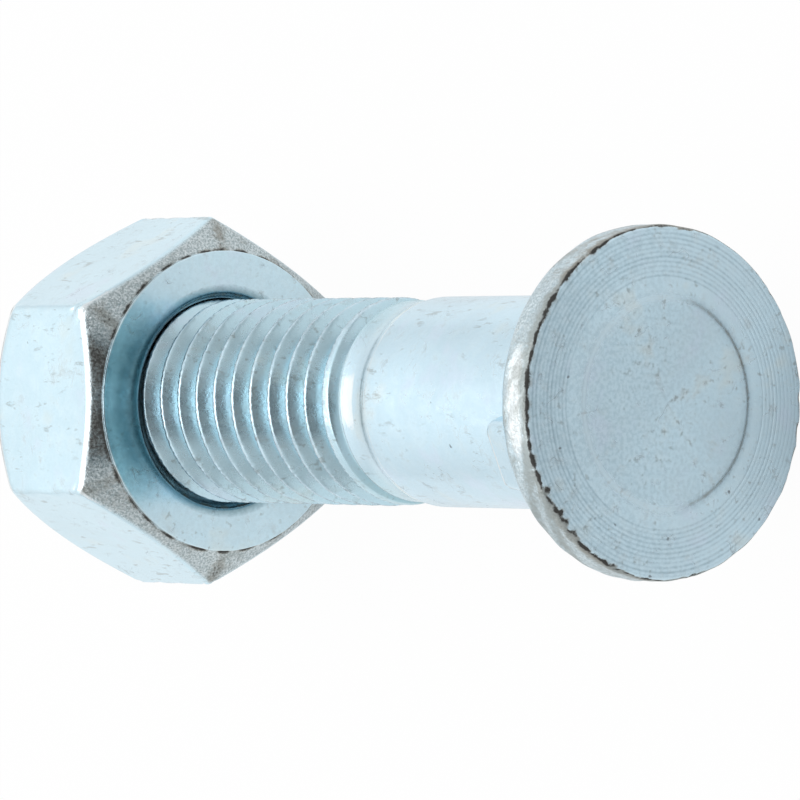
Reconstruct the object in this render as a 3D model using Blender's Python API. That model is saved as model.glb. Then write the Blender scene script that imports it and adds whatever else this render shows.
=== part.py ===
"""An M12 plow bolt with its hexagon nut, lying on its side.

The bolt lies along X: the raised disc on its head face is at X = 0 and the head looks towards +X.
It is one forged and rolled piece: a flat countersunk head with two nibs under it, a plain shank,
a short neck and a rolled right-hand thread. The nut is a second piece, screwed on near the thread's end,
with one of its flats facing down.
"""

import math

import bmesh
import bpy
from mathutils import Matrix, Vector

MM = 0.001

# Head of the bolt
HEAD_DIAMETER = 19.7 * MM
RIM_HEIGHT = 2.1 * MM
CONE_ANGLE = math.radians(90.0)
FACE_EDGE_ROUND = 0.25 * MM
RIM_EDGE_ROUND = 0.3 * MM
CONE_FOOT_ROUND = 0.8 * MM
DISC_DIAMETER = 12.1 * MM
DISC_HEIGHT = 0.15 * MM
DISC_EDGE_SLOPE = 0.1 * MM

# Two nibs under the head
NIB_COUNT = 2
NIB_TURN = math.radians(24.0)
NIB_WIDTH = 4.2 * MM
NIB_HEIGHT = 1.5 * MM
NIB_PAST_CONE = 1.0 * MM
NIB_FLARE = math.radians(10.0)
NIB_DRAFT = math.radians(10.0)
NIB_ROUND = 0.6 * MM

# Shank and neck
BOLT_LENGTH = 50.0 * MM
SHANK_DIAMETER = 12.0 * MM
SHANK_END = 19.65 * MM
NECK_DIAMETER = 11.44 * MM
NECK_SHOULDER = 1.65 * MM
NECK_RISE = 2.9 * MM
NECK_HOLLOW = 1.0

# Thread, with the standard 60 degree form
THREAD_DIAMETER = 12.0 * MM
THREAD_PITCH = 1.75 * MM
THREAD_START_TURN = math.radians(27.0)
THREAD_DEPTH_SHARE = 0.6134
THREAD_CREST_SHARE = 0.125
THREAD_FLANK_ANGLE = math.radians(30.0)
THREAD_FADE = 2.7 * MM
THREAD_FADE_BEFORE_NECK = 0.1 * MM
END_CHAMFER_ANGLE = math.radians(45.0)
END_BELOW_ROOT = 0.25 * MM

# Nut, with the bearing circle a little inside its flats and a steeper chamfer on the far side
NUT_SIDES = 6
NUT_ACROSS_FLATS = 19.0 * MM
NUT_HEIGHT = 10.6 * MM
NUT_BEARING_INSET = 0.65 * MM
NUT_CHAMFER_ANGLE = math.radians(32.0)
NUT_FAR_INSET = 0.4 * MM
NUT_FAR_CHAMFER_ANGLE = math.radians(45.0)
NUT_BORE_CLEARANCE = 0.2 * MM
NUT_COUNTERSINK_WIDTH = 0.25 * MM
NUT_COUNTERSINK_ANGLE = math.radians(45.0)
BOLT_INSIDE_NUT = 8.94 * MM

# How far a cutting shape reaches past what it cuts
OVERSHOOT = 1.0 * MM

# Fineness of the round shapes
BOLT_SEGMENTS = 40
NUT_CONE_SEGMENTS = 96
NUT_BORE_SEGMENTS = 48
ROUND_STEPS = 3
NECK_STEPS = 5
ROWS_PER_TURN = 4
PLANE_SNAP = 0.03 * THREAD_PITCH
WELD = 1e-7


def clear_scene():
    for item in list(bpy.data.objects):
        bpy.data.objects.remove(item, do_unlink=True)


def steel(name, colour, roughness):
    """A zinc plated steel."""
    material = bpy.data.materials.new(name)
    material.use_nodes = True
    shader = material.node_tree.nodes["Principled BSDF"]
    shader.inputs["Base Color"].default_value = (*colour, 1.0)
    shader.inputs["Metallic"].default_value = 1.0
    shader.inputs["Roughness"].default_value = roughness
    return material


def add_object(name, mesh_builder, material=None):
    """Turns a bmesh into an object of this name, shaded smooth except at its edges."""
    mesh = bpy.data.meshes.new(name)
    mesh_builder.to_mesh(mesh)
    mesh_builder.free()
    if material:
        mesh.materials.append(material)
    mesh.shade_smooth()
    mesh.set_sharp_from_angle(angle=math.radians(25.0))
    item = bpy.data.objects.new(name, mesh)
    bpy.context.scene.collection.objects.link(item)
    return item


def as_helper(item):
    """Marks an object as one that only shapes another."""
    item.hide_render = True
    item.display_type = "WIRE"


def boolean(item, operation, other):
    modifier = item.modifiers.new(f"{operation.lower()} {other.name}", "BOOLEAN")
    modifier.operation = operation
    modifier.solver = "EXACT"
    modifier.object = other
    as_helper(other)


def round_corner(before, corner, after, radius, steps=ROUND_STEPS):
    """Points of the arc that rounds a corner of a profile, from its first straight to its second."""
    to_before = (before - corner).normalized()
    to_after = (after - corner).normalized()
    half = to_before.angle(to_after) / 2
    centre = corner + (to_before + to_after).normalized() * (radius / math.sin(half))
    first = corner + to_before * (radius / math.tan(half)) - centre
    last = corner + to_after * (radius / math.tan(half)) - centre
    sweep = math.pi - 2 * half
    return [
        centre + (first * math.sin(sweep * (1 - k / steps)) + last * math.sin(sweep * k / steps)) / math.sin(sweep)
        for k in range(steps + 1)
    ]


def turned(profile, segments):
    """A bmesh of a profile of (x, radius) points turned about the X axis."""
    builder = bmesh.new()
    points = [builder.verts.new((x, radius, 0.0)) for x, radius in profile]
    edges = [builder.edges.new(pair) for pair in zip(points, points[1:])]
    bmesh.ops.spin(
        builder,
        geom=points + edges,
        cent=(0, 0, 0),
        axis=(1, 0, 0),
        angle=2 * math.pi,
        steps=segments,
    )
    bmesh.ops.remove_doubles(builder, verts=builder.verts, dist=WELD)
    bmesh.ops.recalc_face_normals(builder, faces=builder.faces)
    return builder


def neck_radius(x):
    """The bolt's outer radius between shank and thread, before the thread is rolled into it."""
    neck = -(SHANK_END + NECK_SHOULDER)
    drop = (SHANK_DIAMETER - NECK_DIAMETER) / 2
    if x >= -SHANK_END:
        return SHANK_DIAMETER / 2
    if x >= neck:
        share = (-SHANK_END - x) / NECK_SHOULDER
        return SHANK_DIAMETER / 2 - drop * share * (1 + NECK_HOLLOW * (1 - share))
    rise = min((neck - x) / NECK_RISE, 1.0)
    return (NECK_DIAMETER + (THREAD_DIAMETER - NECK_DIAMETER) * (1 - math.cos(math.pi * rise)) / 2) / 2


def thread_end():
    """Where the middle of the thread's groove reaches the surface of the neck."""
    return -(SHANK_END + NECK_SHOULDER + THREAD_FADE_BEFORE_NECK)


def thread_depth(groove_middle):
    """Depth of the thread's groove, which fades out along its helix on the way into the neck."""
    share = min(max((thread_end() - groove_middle) / THREAD_FADE, 0.0), 1.0)
    return THREAD_DEPTH_SHARE * THREAD_PITCH * share * share * (3 - 2 * share)


def end_radius():
    return THREAD_DIAMETER / 2 - THREAD_DEPTH_SHARE * THREAD_PITCH - END_BELOW_ROOT


def thread_radius(x, share, in_root):
    """Radius of the threaded stretch on a crest line or a root line, at its share of the pitch."""
    groove_middle = x + THREAD_PITCH * (0.5 - share)
    radius = neck_radius(x) - (thread_depth(groove_middle) if in_root else 0.0)
    chamfer = end_radius() + (x + BOLT_LENGTH) * math.tan(END_CHAMFER_ANGLE)
    return min(radius, chamfer)


def thread_rows():
    """Where each helical line starts in a turn, as a share of the pitch, and whether it lies in the root."""
    root_half = (1 - THREAD_CREST_SHARE) / 2 - THREAD_DEPTH_SHARE * math.tan(THREAD_FLANK_ANGLE)
    return [
        (-THREAD_CREST_SHARE / 2, False),
        (THREAD_CREST_SHARE / 2, False),
        (0.5 - root_half, True),
        (0.5 + root_half, True),
    ]


def ring(builder, x, radius):
    """One circle of points round the X axis. The first column points up, and the next ones turn towards -Y."""
    points = []
    for column in range(BOLT_SEGMENTS):
        angle = 2 * math.pi * column / BOLT_SEGMENTS
        points.append(builder.verts.new((x, -radius * math.sin(angle), radius * math.cos(angle))))
    return points


def add_face(builder, corners):
    """A face of these corners, with any corner that repeats left out."""
    unique = list(dict.fromkeys(corners))
    if len(unique) > 2:
        builder.faces.new(unique)


def join_rings(builder, first, second):
    for column in range(BOLT_SEGMENTS):
        after = (column + 1) % BOLT_SEGMENTS
        add_face(builder, [first[column], first[after], second[after], second[column]])


def threaded_stretch(builder):
    """The rolled thread, as helical lines of crest and root between two circles. It returns the circles."""
    low = -BOLT_LENGTH
    high = thread_end() + THREAD_PITCH / ROWS_PER_TURN
    low_ring = ring(builder, low, end_radius())
    high_ring = ring(builder, high, neck_radius(high))
    rows = thread_rows()
    turns = math.ceil((high - low) / THREAD_PITCH) + 5
    start = low + THREAD_PITCH * (THREAD_START_TURN / (2 * math.pi) - 2)
    table = []
    for row in range(turns * ROWS_PER_TURN):
        share, in_root = rows[row % ROWS_PER_TURN]
        line = []
        for column in range(BOLT_SEGMENTS):
            lead = row // ROWS_PER_TURN + share + column / BOLT_SEGMENTS
            x = start + THREAD_PITCH * lead
            if x < low + PLANE_SNAP:
                line.append(low_ring[column])
            elif x > high - PLANE_SNAP:
                line.append(high_ring[column])
            else:
                angle = 2 * math.pi * column / BOLT_SEGMENTS
                radius = thread_radius(x, share, in_root)
                place = (x, -radius * math.sin(angle), radius * math.cos(angle))
                line.append(builder.verts.new(place))
        table.append(line)
    for row in range(len(table) - ROWS_PER_TURN - 1):
        for column in range(BOLT_SEGMENTS - 1):
            add_face(
                builder,
                [
                    table[row][column],
                    table[row][column + 1],
                    table[row + 1][column + 1],
                    table[row + 1][column],
                ],
            )
        add_face(
            builder,
            [
                table[row][-1],
                table[row + ROWS_PER_TURN][0],
                table[row + ROWS_PER_TURN + 1][0],
                table[row + 1][-1],
            ],
        )
    return low_ring, high_ring


def cone_foot():
    """Distance from the disc's top to where the countersunk cone would meet the shank."""
    drop = (HEAD_DIAMETER - SHANK_DIAMETER) / 2
    return DISC_HEIGHT + RIM_HEIGHT + drop / math.tan(CONE_ANGLE / 2)


def head_profile():
    """(x, radius) points from the shank's end to the middle of the head face."""
    shank = SHANK_DIAMETER / 2
    head = HEAD_DIAMETER / 2
    foot = Vector((-cone_foot(), shank))
    rim_low = Vector((-(DISC_HEIGHT + RIM_HEIGHT), head))
    rim_high = Vector((-DISC_HEIGHT, head))
    face = Vector((-DISC_HEIGHT, DISC_DIAMETER / 2))
    points = [Vector((-SHANK_END, shank))]
    points += round_corner(points[0], foot, rim_low, CONE_FOOT_ROUND)
    points += round_corner(foot, rim_low, rim_high, RIM_EDGE_ROUND)
    points += round_corner(rim_low, rim_high, face, FACE_EDGE_ROUND)
    points += [face, Vector((0.0, DISC_DIAMETER / 2 - DISC_EDGE_SLOPE))]
    return points


def bolt_blank():
    """The bolt without its nibs, as one closed surface built from its end to its head face."""
    builder = bmesh.new()
    low_ring, last = threaded_stretch(builder)
    builder.faces.new(low_ring)
    neck_start = last[0].co.x
    profile = [
        Vector((x, neck_radius(x)))
        for x in (neck_start + (-SHANK_END - neck_start) * k / NECK_STEPS for k in range(1, NECK_STEPS))
    ]
    for point in profile + head_profile():
        circle = ring(builder, point.x, point.y)
        join_rings(builder, last, circle)
        last = circle
    builder.faces.new(last)
    bmesh.ops.recalc_face_normals(builder, faces=builder.faces)
    return builder


def nib():
    """One nib along +Z, from inside the head's cone to its rounded end on the shank."""
    top = SHANK_DIAMETER / 2 + NIB_HEIGHT
    root = SHANK_DIAMETER / 2 - NIB_HEIGHT
    rear = -(cone_foot() + NIB_PAST_CONE)
    front = -(DISC_HEIGHT + RIM_HEIGHT)
    front_top = top + (front - rear) * math.tan(NIB_FLARE)
    front_top = min(front_top, HEAD_DIAMETER / 2 - RIM_EDGE_ROUND)
    spread = math.tan(NIB_DRAFT)
    corners = []
    for x, height in ((rear, root), (rear + (top - root) * spread, top), (front, front_top), (front, root)):
        half = NIB_WIDTH / 2 + (top - height) * spread
        corners.append([Vector((x, -half, height)), Vector((x, half, height))])
    builder = bmesh.new()
    left = [builder.verts.new(pair[0]) for pair in corners]
    right = [builder.verts.new(pair[1]) for pair in corners]
    builder.faces.new(left)
    builder.faces.new(right)
    for k in range(len(corners)):
        after = (k + 1) % len(corners)
        builder.faces.new([left[k], left[after], right[after], right[k]])
    bmesh.ops.recalc_face_normals(builder, faces=builder.faces)
    outer = [left[1], left[2], right[1], right[2]]
    rounded = [edge for edge in builder.edges if edge.verts[0] in outer or edge.verts[1] in outer]
    rounded = [edge for edge in rounded if not (left[2] in edge.verts and right[2] in edge.verts)]
    rounded = [edge for edge in rounded if left[3] not in edge.verts and right[3] not in edge.verts]
    bmesh.ops.bevel(builder, geom=rounded, offset=NIB_ROUND, segments=ROUND_STEPS, profile=0.5, affect="EDGES")
    return builder


def make_bolt(material):
    bolt = add_object("plow_bolt", bolt_blank(), material)
    for number in range(NIB_COUNT):
        shape = add_object(f"nib_shape_{number + 1}", nib(), material)
        shape.rotation_euler.x = NIB_TURN + 2 * math.pi * number / NIB_COUNT
        boolean(bolt, "UNION", shape)
    return bolt


def make_nut(material):
    """The hexagon nut. Its origin is on the bolt's axis, at the middle of its bearing face."""
    corner = NUT_ACROSS_FLATS / 2 / math.cos(math.pi / NUT_SIDES)
    prism = bmesh.new()
    bmesh.ops.create_cone(
        prism,
        cap_ends=True,
        segments=NUT_SIDES,
        radius1=corner,
        radius2=corner,
        depth=NUT_HEIGHT,
        matrix=Matrix.Translation((-NUT_HEIGHT / 2, 0, 0)) @ Matrix.Rotation(math.pi / 2, 4, "Y"),
    )
    nut = add_object("hex_nut", prism, material)

    bearing = NUT_ACROSS_FLATS / 2 - NUT_BEARING_INSET
    beyond = corner + OVERSHOOT
    slope = (beyond - bearing) * math.tan(NUT_CHAMFER_ANGLE)
    far_circle = NUT_ACROSS_FLATS / 2 - NUT_FAR_INSET
    far_slope = (beyond - far_circle) * math.tan(NUT_FAR_CHAMFER_ANGLE)
    envelope_profile = [
        (-NUT_HEIGHT, 0.0),
        (-NUT_HEIGHT, far_circle),
        (-NUT_HEIGHT + far_slope, beyond),
        (-slope, beyond),
        (0.0, bearing),
        (0.0, 0.0),
    ]
    envelope = add_object("nut_chamfer_shape", turned(envelope_profile, NUT_CONE_SEGMENTS))
    boolean(nut, "INTERSECT", envelope)

    bore = THREAD_DIAMETER / 2 + NUT_BORE_CLEARANCE
    mouth = bore + NUT_COUNTERSINK_WIDTH
    sink = NUT_COUNTERSINK_WIDTH / math.tan(NUT_COUNTERSINK_ANGLE)
    wide = mouth + OVERSHOOT * math.tan(NUT_COUNTERSINK_ANGLE)
    bore_profile = [
        (-NUT_HEIGHT - OVERSHOOT, 0.0),
        (-NUT_HEIGHT - OVERSHOOT, wide),
        (-NUT_HEIGHT + sink, bore),
        (-sink, bore),
        (OVERSHOOT, wide),
        (OVERSHOOT, 0.0),
    ]
    cutter = add_object("nut_bore_shape", turned(bore_profile, NUT_BORE_SEGMENTS))
    boolean(nut, "DIFFERENCE", cutter)

    for item in (nut, envelope, cutter):
        item.location.x = -(BOLT_LENGTH - BOLT_INSIDE_NUT)
    return nut


def main():
    clear_scene()
    make_bolt(steel("zinc_bolt", (0.67, 0.84, 0.93), 0.3))
    make_nut(steel("zinc_nut", (0.69, 0.86, 0.95), 0.27))


main()
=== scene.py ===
"""Looks of an M12 plow bolt and its nut: blue zinc plate, a rolled thread, turned rings, grime, wear, and
painted shade and highlights.

The bolt lies along X with its head towards +X. An angle round it starts at the top (+Z) and grows
towards -Y. Each of the two pieces is one closed skin of rows and columns: a column is an angle, and
a row is a circle or, on a thread, a helix.
"""

import math

import bmesh
import bpy
import numpy as np
from mathutils import Matrix, Vector


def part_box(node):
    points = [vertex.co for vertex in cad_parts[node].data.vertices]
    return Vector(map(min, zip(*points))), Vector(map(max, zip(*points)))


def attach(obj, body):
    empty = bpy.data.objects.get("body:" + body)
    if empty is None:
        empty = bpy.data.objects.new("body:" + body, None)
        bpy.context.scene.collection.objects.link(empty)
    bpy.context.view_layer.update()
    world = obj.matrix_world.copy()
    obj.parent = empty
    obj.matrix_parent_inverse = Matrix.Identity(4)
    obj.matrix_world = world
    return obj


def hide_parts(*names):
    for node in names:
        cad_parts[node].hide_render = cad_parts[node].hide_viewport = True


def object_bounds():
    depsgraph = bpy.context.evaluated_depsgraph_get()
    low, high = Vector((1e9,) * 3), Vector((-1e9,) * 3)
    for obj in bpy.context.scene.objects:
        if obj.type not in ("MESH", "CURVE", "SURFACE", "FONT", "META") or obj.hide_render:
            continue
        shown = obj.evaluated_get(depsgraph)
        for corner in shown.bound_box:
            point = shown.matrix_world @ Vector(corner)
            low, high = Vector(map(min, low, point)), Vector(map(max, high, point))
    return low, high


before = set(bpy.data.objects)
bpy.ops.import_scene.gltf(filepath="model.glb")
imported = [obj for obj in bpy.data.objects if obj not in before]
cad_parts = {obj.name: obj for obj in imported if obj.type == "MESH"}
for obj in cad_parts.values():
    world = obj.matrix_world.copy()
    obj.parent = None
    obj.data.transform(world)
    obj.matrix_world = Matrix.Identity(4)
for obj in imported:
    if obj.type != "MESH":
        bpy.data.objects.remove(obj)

MM = 0.001
FULL_TURN = 2 * math.pi

cad_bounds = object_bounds()
bolt_low, bolt_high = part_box("plow_bolt")
nut_low, nut_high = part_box("hex_nut")

# Head of the bolt
HEAD_RADIUS = bolt_high.z
RIM_HEIGHT = 2.1 * MM
RIM_SOFTNESS = 0.3 * MM
FACE_EDGE_ROUND = 0.22 * MM
FACE_EDGE_DAMAGE = 0.4 * MM
DISC_RADIUS = 6.05 * MM
DISC_HEIGHT = 0.15 * MM
DISC_EDGE_SLOPE = 0.45 * MM
RING_PITCH = 0.26 * MM
RING_DEPTH = 0.025 * MM
RING_COUNT = 10
RING_INNER = 7.0 * MM

# Where the edge of the head face is battered: middle and half width in degrees, and how badly
BATTERED = (
    (0, 10, 0.5),
    (42, 15, 1.0),
    (68, 9, 0.6),
    (-30, 11, 0.4),
    (-56, 9, 0.45),
    (172, 16, 0.6),
    (-95, 7, 0.6),
    (102, 9, 0.35),
    (-140, 12, 0.25),
)

# Nibs under the head
NIB_COUNT = 2
NIB_TURN = math.radians(24.0)
NIB_HALF_WIDTH = 2.1 * MM
NIB_HEIGHT = 1.5 * MM
NIB_PAST_CONE = 1.0 * MM
NIB_FLARE = math.radians(10.0)
NIB_CORNER = 0.9 * MM
NIB_EDGE_ROUND = 0.75 * MM
NIB_FILLET = 0.3 * MM

# Shank and neck
SHANK_RADIUS = 6.0 * MM
SHANK_END = -19.65 * MM
NECK_RADIUS = 5.72 * MM
NECK_SHOULDER = 1.65 * MM
NECK_RISE = 2.9 * MM
NECK_SOFTNESS = 0.12 * MM
NECK_CURVE = 1.6
NECK_LOW = SHANK_END - NECK_SHOULDER
CONE_SOFTNESS = 0.3 * MM

# Thread
THREAD_PITCH = 1.75 * MM
THREAD_RADIUS = 6.0 * MM
THREAD_START_TURN = math.radians(27.0)
THREAD_DEPTH = 0.6134 * THREAD_PITCH
CREST_HALF = 0.0625 * THREAD_PITCH
FLANK_SLOPE = math.tan(math.radians(30.0))
THREAD_FADE = 2.7 * MM
THREAD_CLOSED = NECK_LOW - 0.1 * MM
MOST_CLOSED = 0.9
CREST_SOFTNESS = 0.05 * MM
ROOT_SOFTNESS = 0.15 * MM
END_BELOW_ROOT = 0.25 * MM

# Nut. Its bearing face stands a step above the chamfer, and the far side has a steeper chamfer
NUT_SIDES = 6
NUT_HALF_FLATS = nut_high.z
NUT_BEARING_RADIUS = 8.87 * MM
NUT_STEP = 0.18 * MM
NUT_CHAMFER_SLOPE = math.tan(math.radians(32.0))
NUT_FAR_RADIUS = 9.1 * MM
NUT_FAR_SLOPE = math.tan(math.radians(45.0))
NUT_FACE_EDGE = 0.05 * MM
NUT_EDGE_SOFTNESS = 0.6 * MM
NUT_RIDGE_SOFTNESS = 0.3 * MM
NUT_MOUTH_RADIUS = 6.38 * MM
NUT_THREAD_CLEARANCE = 0.07 * MM
NUT_LEAD_IN = 0.35 * MM
NUT_LEAD_IN_DEPTH = 1.7 * MM
NUT_THREAD_INNER = 5.16 * MM

# The rounded edge of the nut's mouth: depths below the face, and distances past the mouth's radius
NUT_MOUTH_EDGE = (
    (0.12 * MM, -0.12 * MM),
    (0.06 * MM, -0.04 * MM),
    (0.02 * MM, 0.04 * MM),
    (0.0, 0.16 * MM),
)

# Fineness of the skins: columns in degrees, helical lines as shares of a turn, and rows
BOLT_STEP_DEGREES = 2
NIB_SIDE_DEGREES = (15, 17, 19, 21, 23)
NUT_STEPS_DEGREES = (
    (0, 0.3, 0.6, 0.95, 1.4, 2, 2.8, 3.8, 5, 6.5, 8.2)
    + (10, 12, 14, 16, 18, 20, 22.5, 25, 27.5, 30)
)
THREAD_LINES = (0.0, 0.05, 0.08, 0.13, 0.21, 0.29, 0.36, 0.42, 0.5, 0.58, 0.64, 0.79, 0.92, 0.95)
BOLT_END_ROWS = (0.96, 0.6, 0.2)
RIM_ROWS = (0.4, 0.8, 1.0)
FACE_EDGE_ROWS = (0.008 * MM, 0.03 * MM, 0.065 * MM, 0.11 * MM, 0.16 * MM, 0.22 * MM, 0.29 * MM, 0.36 * MM)
FACE_CENTRE = 0.3 * MM
ROWS_PER_RING = 6
NUT_EDGE_ROWS = (0.0, 0.015 * MM, 0.05 * MM, 0.1 * MM, 0.17 * MM, 0.18 * MM, 0.2 * MM, 0.25 * MM)
NUT_CHAMFER_ROWS_END = 2.4 * MM
SNAP = 0.02 * MM

# Camera, measured from the photo
CAMERA_PLACE = Vector((340.36, 0.0, 279.22)) * MM
CAMERA_AIM = Vector((-24.18, 0.09, 0.0)) * MM
CAMERA_ROLL = math.radians(0.28)
CAMERA_LENS = 360.0
CAMERA_SENSOR = 36.0
CAMERA_CLIP = (0.01, 50.0)

# The floor: its size, its colour in diffuse light, how white the camera sees it, and how pale it looks
# in mirrored views, behind the nut and in front of the head
FLOOR_HALF_SIZE = 6.0
FLOOR_GREY = 0.75
FLOOR_SEEN = 0.97
FLOOR_BEHIND = -30.0 * MM
FLOOR_IN_FRONT = 5.0 * MM
FLOOR_MIRRORED_BEHIND = 0.55
FLOOR_MIRRORED_IN_FRONT = 0.1

# Studio light, as the brightness that a mirror would show: the horizon on both sides, and straight above
HORIZON_BEHIND = 0.86
HORIZON_IN_FRONT = 0.46
HORIZON_CHANGES = (-0.85, 0.6)
ZENITH = 1.1
PHOTOGRAPHER = (0.09, 0.095, 0.10)
PHOTOGRAPHER_INNER = math.radians(15.0)
PHOTOGRAPHER_OUTER = math.radians(32.0)
LAMP_TOWARDS = Vector((-0.3, 0.0, 1.0)).normalized()
LAMP_DISTANCE = 0.6
LAMP_WIDTH = 0.48
LAMP_LENGTH = 0.5
LAMP_RADIANCE = 1.6

# Zinc plate of each piece: its tint, its deeper tint and its roughness
BOLT_ZINC = ((0.67, 0.87, 0.98), (0.62, 0.80, 0.90), 0.21)
NUT_ZINC = ((0.69, 0.89, 0.985), (0.66, 0.85, 0.94), 0.2)

# Colours that the plate turns to in places, and those that shade it. The stain and dirt colours also paint
# shade, and the worn colour paints highlights
PALE_ZINC = (0.78, 0.90, 0.95)
VIOLET_ZINC = (0.74, 0.82, 0.97)
YELLOW_ZINC = (0.80, 0.84, 0.78)
WORN_AND_HIGHLIT_ZINC = (0.87, 0.94, 0.97)
COARSE_DARK = (0.32, 0.37, 0.37)
COARSE_PALE = (0.72, 0.77, 0.78)
SMUDGE = (0.50, 0.56, 0.58)
SCUFF = (0.34, 0.37, 0.38)
STREAK = (0.34, 0.37, 0.36)
GREY_STAIN_AND_PAINTED_SHADE = (0.30, 0.32, 0.30)
BROWN_STAIN_AND_PAINTED_SHADE = (0.28, 0.25, 0.20)
PIT = (0.13, 0.14, 0.15)
DIRT_AND_PAINTED_SHADE = (0.040, 0.040, 0.037)
# Painted shade: a grey-blue shade, a teal shade and a grain that deepens with them
PAINTED_SHADE_AND_DIMMING = (0.42, 0.46, 0.48)
PAINTED_TEAL_SHADE_TINT = (0.36, 0.64, 0.62)
PAINTED_SHADE_GRAIN = (0.60, 0.64, 0.66)

# Kinds of mark. Each is a value at every point of a skin, from 0 to 1
# Besides real grime, stains and wear, these marks carry painted shade, painted highlights and a painted
# teal shade
MARKS = ("grime", "stain", "wear", "coarse", "shade", "teal", "matt")

# Single dark spots on the head face: an angle in degrees, a distance from its middle, a radius, a strength
FACE_SPOTS = (
    (-27, 9.2 * MM, 0.42 * MM, 0.55),
    (-62, 9.05 * MM, 0.2 * MM, 0.5),
    (-72, 9.25 * MM, 0.35 * MM, 0.45),
    (-77, 8.3 * MM, 0.2 * MM, 0.5),
    (40, 4.9 * MM, 0.2 * MM, 0.5),
    (17, 8.9 * MM, 0.25 * MM, 0.35),
    (93, 5.2 * MM, 0.16 * MM, 0.4),
    (-107, 3.9 * MM, 0.16 * MM, 0.4),
)


def soft_min(a, b, softness):
    """The smaller of two values, rounded where they meet."""
    share = np.clip(0.5 + 0.5 * (b - a) / softness, 0.0, 1.0)
    return b * (1 - share) + a * share - softness * share * (1 - share)


def soft_max(a, b, softness):
    return -soft_min(-a, -b, softness)


def smooth_step(value, start, end):
    """0 at the start, 1 at the end and smooth between them. Either of the two may be the lower one."""
    share = np.clip((value - start) / (end - start), 0.0, 1.0)
    return share * share * (3 - 2 * share)


def band(value, middle, width):
    """A soft band: 1 in its middle, and almost 0 at twice its width away."""
    return np.exp(-(((value - middle) / width) ** 2))


def angle_from(angle, centre):
    """Angle measured from a centre, between minus and plus half a turn."""
    return (np.asarray(angle) - centre + math.pi) % FULL_TURN - math.pi


def uneven(angle, seed, lowest, highest, terms=14):
    """A wavy line round the bolt, about -1 to 1, made of sines that close after a turn."""
    draw = np.random.default_rng(seed)
    total = np.zeros_like(angle)
    for _ in range(terms):
        count = draw.integers(lowest, highest + 1)
        total = total + draw.uniform(0.4, 1.0) * np.sin(count * angle + draw.uniform(0, FULL_TURN))
    return total / math.sqrt(terms / 2)


def patches(angle, seed, lowest, highest):
    """Soft patches round the bolt, from 0 to 1."""
    return np.clip(0.5 + 0.5 * uneven(angle, seed, lowest, highest), 0.0, 1.0)


def nicks(angle, seed, lowest, highest):
    """Like patches, but with bare stretches between them."""
    return np.clip(uneven(angle, seed, lowest, highest), 0.0, 1.0)


def add_marks(*places):
    """The marks of several places together."""
    return {kind: sum(place[kind] for place in places if kind in place) for kind in MARKS}


class Skin:
    """A closed skin of rows of points that share the same columns."""

    def __init__(self, angles):
        self.angles = np.array(sorted(angles))
        self.points = []
        self.corners = []

    def row(self, x, radius):
        """A row right round the bolt. x and radius are one value each, or one for each column."""
        xs = np.broadcast_to(x, self.angles.shape)
        radii = np.broadcast_to(radius, self.angles.shape)
        first = len(self.points)
        self.points += zip(xs, radii, range(len(self.angles)))
        return list(range(first, len(self.points)))

    def tip(self, x):
        """A row that is one point on the axis."""
        self.points.append((x, 0.0, 0))
        return [len(self.points) - 1] * len(self.angles)

    def face(self, corners):
        unique = list(dict.fromkeys(corners))
        if len(unique) > 2:
            self.corners.append(unique)

    def join(self, first, second, next_first=None, next_second=None):
        """Faces between two rows. The next rows are the ones that they run into past the last column."""
        for k in range(len(first) - 1):
            self.face((first[k], first[k + 1], second[k + 1], second[k]))
        self.face((first[-1], (next_first or first)[0], (next_second or second)[0], second[-1]))

    def circles(self, last, places):
        """Rows at these (x, radius) places, each joined to the one before."""
        for x, radius in places:
            circle = self.row(x, radius)
            self.join(last, circle)
            last = circle
        return last

    def helix(self, low_row, high_row, low, high, radius_at, closing_at):
        """A thread between two circles, in step with the bolt's thread."""
        start = bolt_low.x + THREAD_PITCH * THREAD_START_TURN / FULL_TURN
        first_turn = math.floor((low - start) / THREAD_PITCH) - 2
        last_turn = math.ceil((high - start) / THREAD_PITCH) + 2
        table = []
        for turn in range(first_turn, last_turn):
            for line in THREAD_LINES:
                groove = start + THREAD_PITCH * (turn + 0.5 + self.angles / FULL_TURN)
                closed = closing_at(groove)
                aside = from_groove(line, closed)
                xs = groove + aside
                radii = radius_at(xs, np.abs(aside), closed)
                row = []
                for k, (x, radius) in enumerate(zip(xs, radii)):
                    if x < low + SNAP:
                        row.append(low_row[k])
                    elif x > high - SNAP:
                        row.append(high_row[k])
                    else:
                        self.points.append((x, radius, k))
                        row.append(len(self.points) - 1)
                table.append(row)
        per_turn = len(THREAD_LINES)
        for k in range(len(table) - per_turn - 1):
            self.join(table[k], table[k + 1], table[k + per_turn], table[k + per_turn + 1])

    def to_object(self, name, worn, marks_of, material):
        """The skin as an object, worn a little, with a value at each point for each kind of mark."""
        x, radius, column = np.array(self.points).T
        angle = self.angles[column.astype(int)]
        marks = marks_of(x, radius, angle)
        x, radius = worn(x, radius, angle)
        places = np.stack([x, -radius * np.sin(angle), radius * np.cos(angle)], axis=1)
        mesh = bpy.data.meshes.new(name)
        mesh.from_pydata(places.tolist(), [], self.corners)
        builder = bmesh.new()
        builder.from_mesh(mesh)
        bmesh.ops.recalc_face_normals(builder, faces=builder.faces)
        builder.to_mesh(mesh)
        builder.free()
        for mark, values in marks.items():
            layer = mesh.attributes.new(mark, "FLOAT", "POINT")
            layer.data.foreach_set("value", np.clip(values, 0.0, 1.0).astype(np.float32))
        mesh.shade_smooth()
        mesh.materials.append(material)
        item = bpy.data.objects.new(name, mesh)
        bpy.context.scene.collection.objects.link(item)
        return item


def span(start, end, count):
    """Evenly spaced values after the start, up to and with the end."""
    return [start + (end - start) * (k + 1) / count for k in range(count)]


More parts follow.
